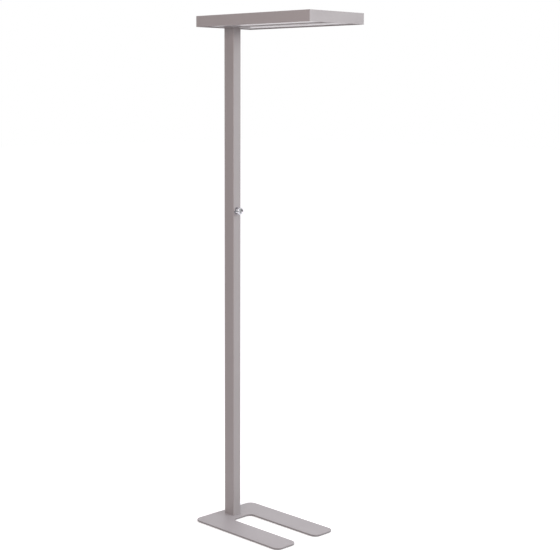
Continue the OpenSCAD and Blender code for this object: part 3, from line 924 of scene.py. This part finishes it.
def makeMast():
    low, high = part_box("mast_tube")
    piece = newBlock("mastTube", low, high)
    editStart(piece)
    pickEdges(piece, lambda e: abs(e.verts[0].co.z - e.verts[1].co.z) > mast["longEdge"])
    bpy.ops.mesh.bevel(offset=mast["cornerRadius"], segments=mast["cornerSteps"], affect="EDGES")
    pickFaces(piece, lambda f: abs(f.normal.z) > 0.9)
    bpy.ops.mesh.delete(type="FACE")
    editEnd()
    wall = piece.modifiers.new("wall", "SOLIDIFY")
    wall.thickness = mast["wall"]
    wall.offset = -1
    wall.use_even_offset = True
    bpy.ops.object.modifier_apply(modifier=wall.name)
    through, boreSides = mast["cutThrough"], mast["boreSides"]
    cutters = [
        newRound("dimmerHole", (0, low.y, mast["dimmerZ"]), mast["frontHole"], through, "Y", boreSides),
        newRound("glandHole", (0, high.y, mast["glandZ"]), mast["glandHole"], through, "Y", boreSides),
    ]
    sinkY = high.y - mast["sinkDepth"] / 2 + mast["cutOver"] / 2
    sinkLength = mast["sinkDepth"] + mast["cutOver"]
    for node in ("mast_foot_screws", "mast_top_screws"):
        for side in (-1, 1):
            z = middleZ(node) + side * screws["backZ"]
            cutters.append(newRound("sink", (0, sinkY, z), mast["sinkTip"], sinkLength, "Y",
                                    mast["sinkSides"], mast["sinkRadius"]))
            cutters.append(newRound("hole", (0, high.y, z), mast["screwHole"], through, "Y",
                                    mast["holeSides"]))
    cutWith(piece, cutters)
    mergeDoubles(piece)
    finishPiece(piece, "lamp", "mast_paint", "mast_tube")


# Cord gland with grip flutes
gland = {
    "flutes": 16,
    "fluteDepth": 0.0005,
    "rimRound": 0.0006,
    "facesPerFlute": 4,
    "fluteInset": 0.0002,
    "tailPlay": 0.00005,
    "bore": 0.0038,
    "boreSides": 64,
    "cutThrough": 0.04,
    "mouth": 0.0052,
    "mouthInner": 0.00375,
    "mouthMiddle": 0.0004,  # in from the flange's face
    "mouthLength": 0.0012,
}


def makeGland():
    low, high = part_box("cord_gland")
    radius = (high.x - low.x) / 2
    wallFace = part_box("mast_tube")[1].y
    z = mast["glandZ"]
    perFlute = gland["facesPerFlute"]
    sides = gland["flutes"] * perFlute
    flange = newRound("cordGland", (0, (wallFace + high.y) / 2, z), radius, high.y - wallFace, "Y", sides)
    editStart(flange)

    def fluteFace(face):
        # One side face in each run of facesPerFlute
        if abs(face.normal.y) > 0.5:
            return False
        turn = math.atan2(face.normal.z, face.normal.x) % (2 * math.pi)
        return int(turn / (2 * math.pi) * sides) % perFlute == 0

    pickFaces(flange, lambda f: f.normal.y > 0.9)
    bpy.ops.mesh.inset(thickness=gland["rimRound"], depth=0)
    pickFaces(flange, fluteFace)
    bpy.ops.mesh.inset(thickness=gland["fluteInset"], use_individual=True, depth=-gland["fluteDepth"])
    editEnd()
    tail = newRound("glandTail", (0, (low.y + wallFace) / 2, z), mast["glandHole"] - gland["tailPlay"],
                    wallFace - low.y, "Y", gland["boreSides"])
    # Each is bored before they are joined, for the same reason as the screws
    middle = (0, (low.y + high.y) / 2, z)
    mouth = newRound("mouth", (0, high.y - gland["mouthMiddle"], z), gland["mouthInner"],
                     gland["mouthLength"], "Y", gland["boreSides"], gland["mouth"])
    for part, more in ((flange, [mouth]), (tail, [])):
        bore = newRound("bore", middle, gland["bore"], gland["cutThrough"], "Y", gland["boreSides"])
        cutWith(part, [bore] + more)
    selectOnly(flange)
    tail.select_set(True)
    bpy.ops.object.join()
    finishPiece(flange, "lamp", "gland_black", "cord_gland")


# Head rails: wall, two ledges, mitred ends
railLook = {
    "wall": 0.002,
    "ledge": 0.006,
    "ledgeThick": 0.0015,
    "edgeRound": 0.0005,
}


def makeRail(name, node, length, centre, turn):
    bottom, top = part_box(node)[0].z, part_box(node)[1].z
    height = top - bottom
    half = length / 2
    seats = [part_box(pane)[0].z - bottom for pane in ("diffuser_left", "upper_cover_left")]
    ledges = [(seat - railLook["ledgeThick"], seat) for seat in seats]
    piece = newBlock(name, (-half, 0, 0), (half, railLook["wall"], height))
    editStart(piece)
    for ledge in ledges:
        for z in ledge:
            bpy.ops.mesh.select_all(action="SELECT")
            bpy.ops.mesh.bisect(plane_co=(0, 0, z), plane_no=(0, 0, 1))

    def ledgeFace(face):
        z = face.calc_center_median().z
        return face.normal.y > 0.9 and any(under < z < seat for under, seat in ledges)

    pickFaces(piece, ledgeFace)
    bpy.ops.mesh.extrude_region_move(TRANSFORM_OT_translate={"value": (0, railLook["ledge"], 0)})
    for side in (-1, 1):
        bpy.ops.mesh.select_all(action="SELECT")
        bpy.ops.mesh.bisect(plane_co=(side * half, 0, 0), plane_no=(side, 1, 0),
                            use_fill=True, clear_outer=True)
    bpy.ops.mesh.select_all(action="SELECT")
    bpy.ops.mesh.dissolve_limited(angle_limit=math.radians(meshing["flatAngle"]))
    editEnd()
    piece.rotation_euler = (0, 0, math.radians(turn))
    piece.location = centre
    selectOnly(piece)
    bpy.ops.object.transform_apply(location=True, rotation=True, scale=True)
    roundEdges(piece, railLook["edgeRound"])
    finishPiece(piece, "lamp", "head_paint", node)


def makeHeadFrame():
    low, high = cadHead()
    middle = (low.y + high.y) / 2
    width = high.x - low.x
    length = high.y - low.y
    makeRail("headRailLeft", "rail_left", length, (low.x, middle, low.z), -90)
    makeRail("headRailRight", "rail_right", length, (high.x, middle, low.z), 90)
    makeRail("headRailFront", "rail_front", width, (0, low.y, low.z), 0)
    makeRail("headRailBack", "rail_back", width, (0, high.y, low.z), 180)


def cadHead():
    corners = [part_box(node) for node in ("rail_left", "rail_right", "rail_front", "rail_back")]
    low = Vector([min(c[0][i] for c in corners) for i in range(3)])
    high = Vector([max(c[1][i] for c in corners) for i in range(3)])
    return low, high


# Sheets and plates of the head and the inner parts, with their edges eased
easedParts = {
    # node: (piece, slot, edge)
    "neck_plate": ("neckPlate", "mast_paint", 0.0004),
    "spine_channel": ("spineChannel", "head_paint", 0.0003),
    "spine_lid": ("spineLid", "head_paint", 0.0005),
    "diffuser_left": ("diffuserLeft", "diffuser_opal", 0.0003),
    "diffuser_right": ("diffuserRight", "diffuser_opal", 0.0003),
    "upper_cover_left": ("upperCoverLeft", "cover_opal", 0.0004),
    "upper_cover_right": ("upperCoverRight", "cover_opal", 0.0004),
    "led_driver": ("ledDriver", "driver_white", 0.001),
    "terminal_block": ("terminalBlock", "driver_white", 0.0006),
    "mast_foot_block": ("mastFootBlock", "block_alu", 0.0004),
    "mast_top_block": ("mastTopBlock", "block_alu", 0.0004),
    "corner_brackets": ("cornerBrackets", "screw_steel", 0.0002),
    "spine_brackets": ("spineBrackets", "screw_steel", 0.0002),
    "dimmer_housing": ("dimmerHousing", "dimmer_black", 0.0008),
}


def makeEasedParts():
    for node, (name, slot, edge) in easedParts.items():
        piece = copyOf(node, name)
        roundEdges(piece, edge, meshing["easeSteps"])
        finishPiece(piece, "lamp", slot, node)


# Dimmer: ring, knob
dimmer = {
    "ringRound": 0.0007,
    "knobRound": 0.003,
    "domeRings": 8,
    "domeStep": 0.0012,
    "domeRise": 0.0007,
    "sides": 96,
    "ringSteps": 4,
    "knobSteps": 8,
    "boreLength": 0.02,
    "backRim": 0.0035,  # wall around the hollow in the knob's back
    "backDepth": 0.005,
}


def turnRound(name, node, rounding, steps):
    # Round piece on the dimmer's axis with a rounded front edge, left in edit mode
    low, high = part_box(node)
    centre = (0, (low.y + high.y) / 2, mast["dimmerZ"])
    piece = newRound(name, centre, (high.x - low.x) / 2, high.y - low.y, "Y", dimmer["sides"])
    editStart(piece)
    pickEdges(piece, lambda e: near(e.verts[0].co.y, low.y) and near(e.verts[1].co.y, low.y))
    bpy.ops.mesh.bevel(offset=rounding, segments=steps, affect="EDGES")
    return piece, low.y


def makeRing():
    piece, front = turnRound("dimmerRing", "dimmer_ring", dimmer["ringRound"], dimmer["ringSteps"])
    editEnd()
    cutWith(piece, [newRound("bore", (0, front, mast["dimmerZ"]), mast["frontHole"], dimmer["boreLength"],
                             "Y", mast["boreSides"])])
    finishPiece(piece, "lamp", "dimmer_chrome", "dimmer_ring")


def domeFront(piece, front):
    # Sets the rings of the front face back along a shallow dome
    rim = 0
    flat = [v for v in piece.data.vertices if near(v.co.y, front)]
    for vertex in flat:
        rim = max(rim, math.hypot(vertex.co.x, vertex.co.z - mast["dimmerZ"]))
    for vertex in flat:
        out = math.hypot(vertex.co.x, vertex.co.z - mast["dimmerZ"])
        vertex.co.y += dimmer["domeRise"] * (out / rim) ** 2


def makeKnob():
    piece, front = turnRound("dimmerKnob", "dimmer_knob", dimmer["knobRound"], dimmer["knobSteps"])
    pickFaces(piece, lambda f: f.normal.y < -0.99 and len(f.verts) > 4)
    for ring in range(dimmer["domeRings"]):
        bpy.ops.mesh.inset(thickness=dimmer["domeStep"], depth=0)
    editEnd()
    domeFront(piece, front)
    editStart(piece)
    pickFaces(piece, lambda f: f.normal.y > 0.9)
    bpy.ops.mesh.inset(thickness=dimmer["backRim"], depth=0)
    bpy.ops.mesh.extrude_region_move(TRANSFORM_OT_translate={"value": (0, -dimmer["backDepth"], 0)})
    editEnd()
    finishPiece(piece, "knob", "dimmer_chrome", "dimmer_knob")


# Return spring, one round wire
spring = {
    "wire": 0.00035,
    "wireSides": 12,
    "turns": 5,
    "steps": 28,  # in each turn
    "press": 0.002,  # the knob's travel
}


def makeSpring():
    low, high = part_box("dimmer_spring")
    radius = (high.x - low.x) / 2 - spring["wire"]
    selectNothing()
    bpy.ops.mesh.primitive_circle_add(vertices=spring["wireSides"], radius=spring["wire"],
                                      location=(radius, 0, 0), rotation=(math.radians(90), 0, 0))
    piece = bpy.context.active_object
    piece.name = "returnSpring"
    bpy.ops.object.transform_apply(location=True, rotation=True, scale=True)
    wind = piece.modifiers.new("wind", "SCREW")
    wind.axis = "Z"
    wind.angle = 2 * math.pi * spring["turns"]
    wind.screw_offset = (high.y - low.y) - 2 * spring["wire"]
    wind.steps = spring["steps"] * spring["turns"]
    wind.render_steps = wind.steps
    bpy.ops.object.modifier_apply(modifier=wind.name)
    editStart(piece)
    bpy.ops.mesh.select_mode(type="EDGE")
    bpy.ops.mesh.select_non_manifold()
    bpy.ops.mesh.edge_face_add()
    bpy.ops.mesh.select_all(action="SELECT")
    bpy.ops.mesh.normals_make_consistent(inside=False)
    editEnd()
    piece.rotation_euler = (math.radians(-90), 0, 0)
    piece.location = (0, low.y + spring["wire"], mast["dimmerZ"])
    selectOnly(piece)
    bpy.ops.object.transform_apply(location=True, rotation=True, scale=True)
    finishPiece(piece, "rotor", "screw_steel", "dimmer_spring")
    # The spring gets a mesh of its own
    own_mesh(piece)


def dressNodes():
    # CAD nodes without a piece of their own keep their shape, and all get their finish
    slots = {row["node"]: row["material_slot"] for row in frame["record"]["subparts"]}
    for node, thing in frame["nodes"].items():
        finish = finishes[slots[node]]
        if thing.material_slots:
            for slot in thing.material_slots:
                slot.material = finish
        else:
            thing.data.materials.append(finish)
        smoothByAngle(thing)


print("modelling the base")
makeBasePlate()
makeUnderlay()
makeAllScrews()
print("modelling the mast")
makeMast()
makeGland()
print("modelling the head")
makeHeadFrame()
makeEasedParts()
print("modelling the dimmer")
makeRing()
makeKnob()
makeSpring()
dressNodes()
